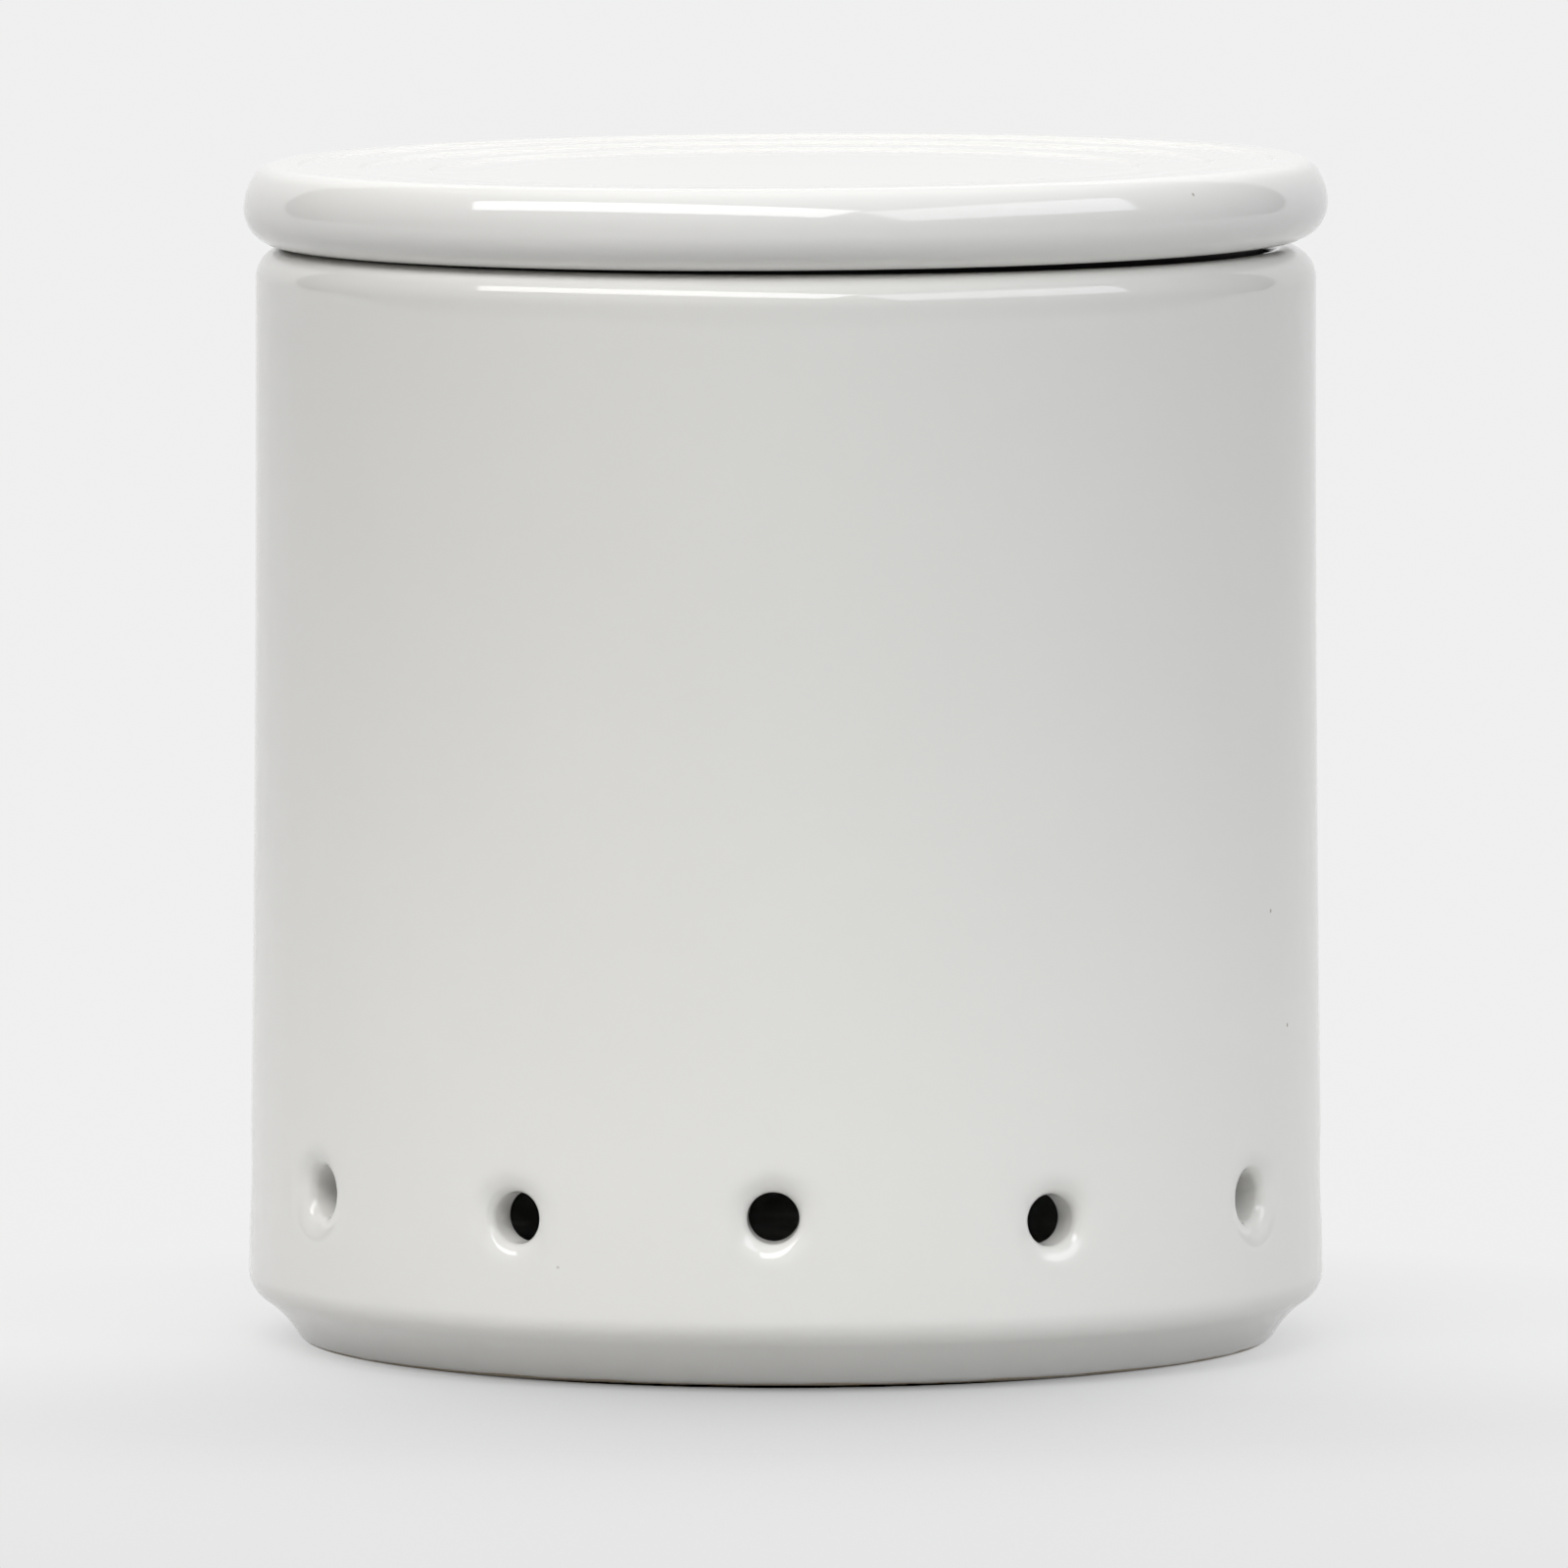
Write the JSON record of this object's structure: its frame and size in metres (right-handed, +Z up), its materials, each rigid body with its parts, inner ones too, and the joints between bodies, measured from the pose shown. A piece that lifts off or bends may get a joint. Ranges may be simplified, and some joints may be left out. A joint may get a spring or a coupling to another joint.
{
  "type": "garlic keeper",
  "caption": "Round glazed stoneware keeper with vents above its foot and a round-edged lid that seals on a ribbed gasket.",
  "frame": {"origin": "centre of the circle on which the crock's foot ring stands", "axes": "+Z up along the crock's axis of rotation, -Y towards the vent that faces the front"},
  "size_m": [0.11, 0.11, 0.1198],
  "materials": {
    "crock_glaze": "glossy white glaze over stoneware",
    "lid_glaze": "glossy white glaze over stoneware",
    "gasket_silicone": "matte dark silicone"
  },
  "bodies": {
    "crock": {"crock": "crock_glaze"},
    "lid": {"lid": "lid_glaze", "lid_gasket": "gasket_silicone"}
  },
  "joints": [
    {"name": "lid_lift", "type": "slide", "parent": "crock", "child": "lid", "axis": [0, 0, 1], "range_m": [0, 0.1]}
  ]
}
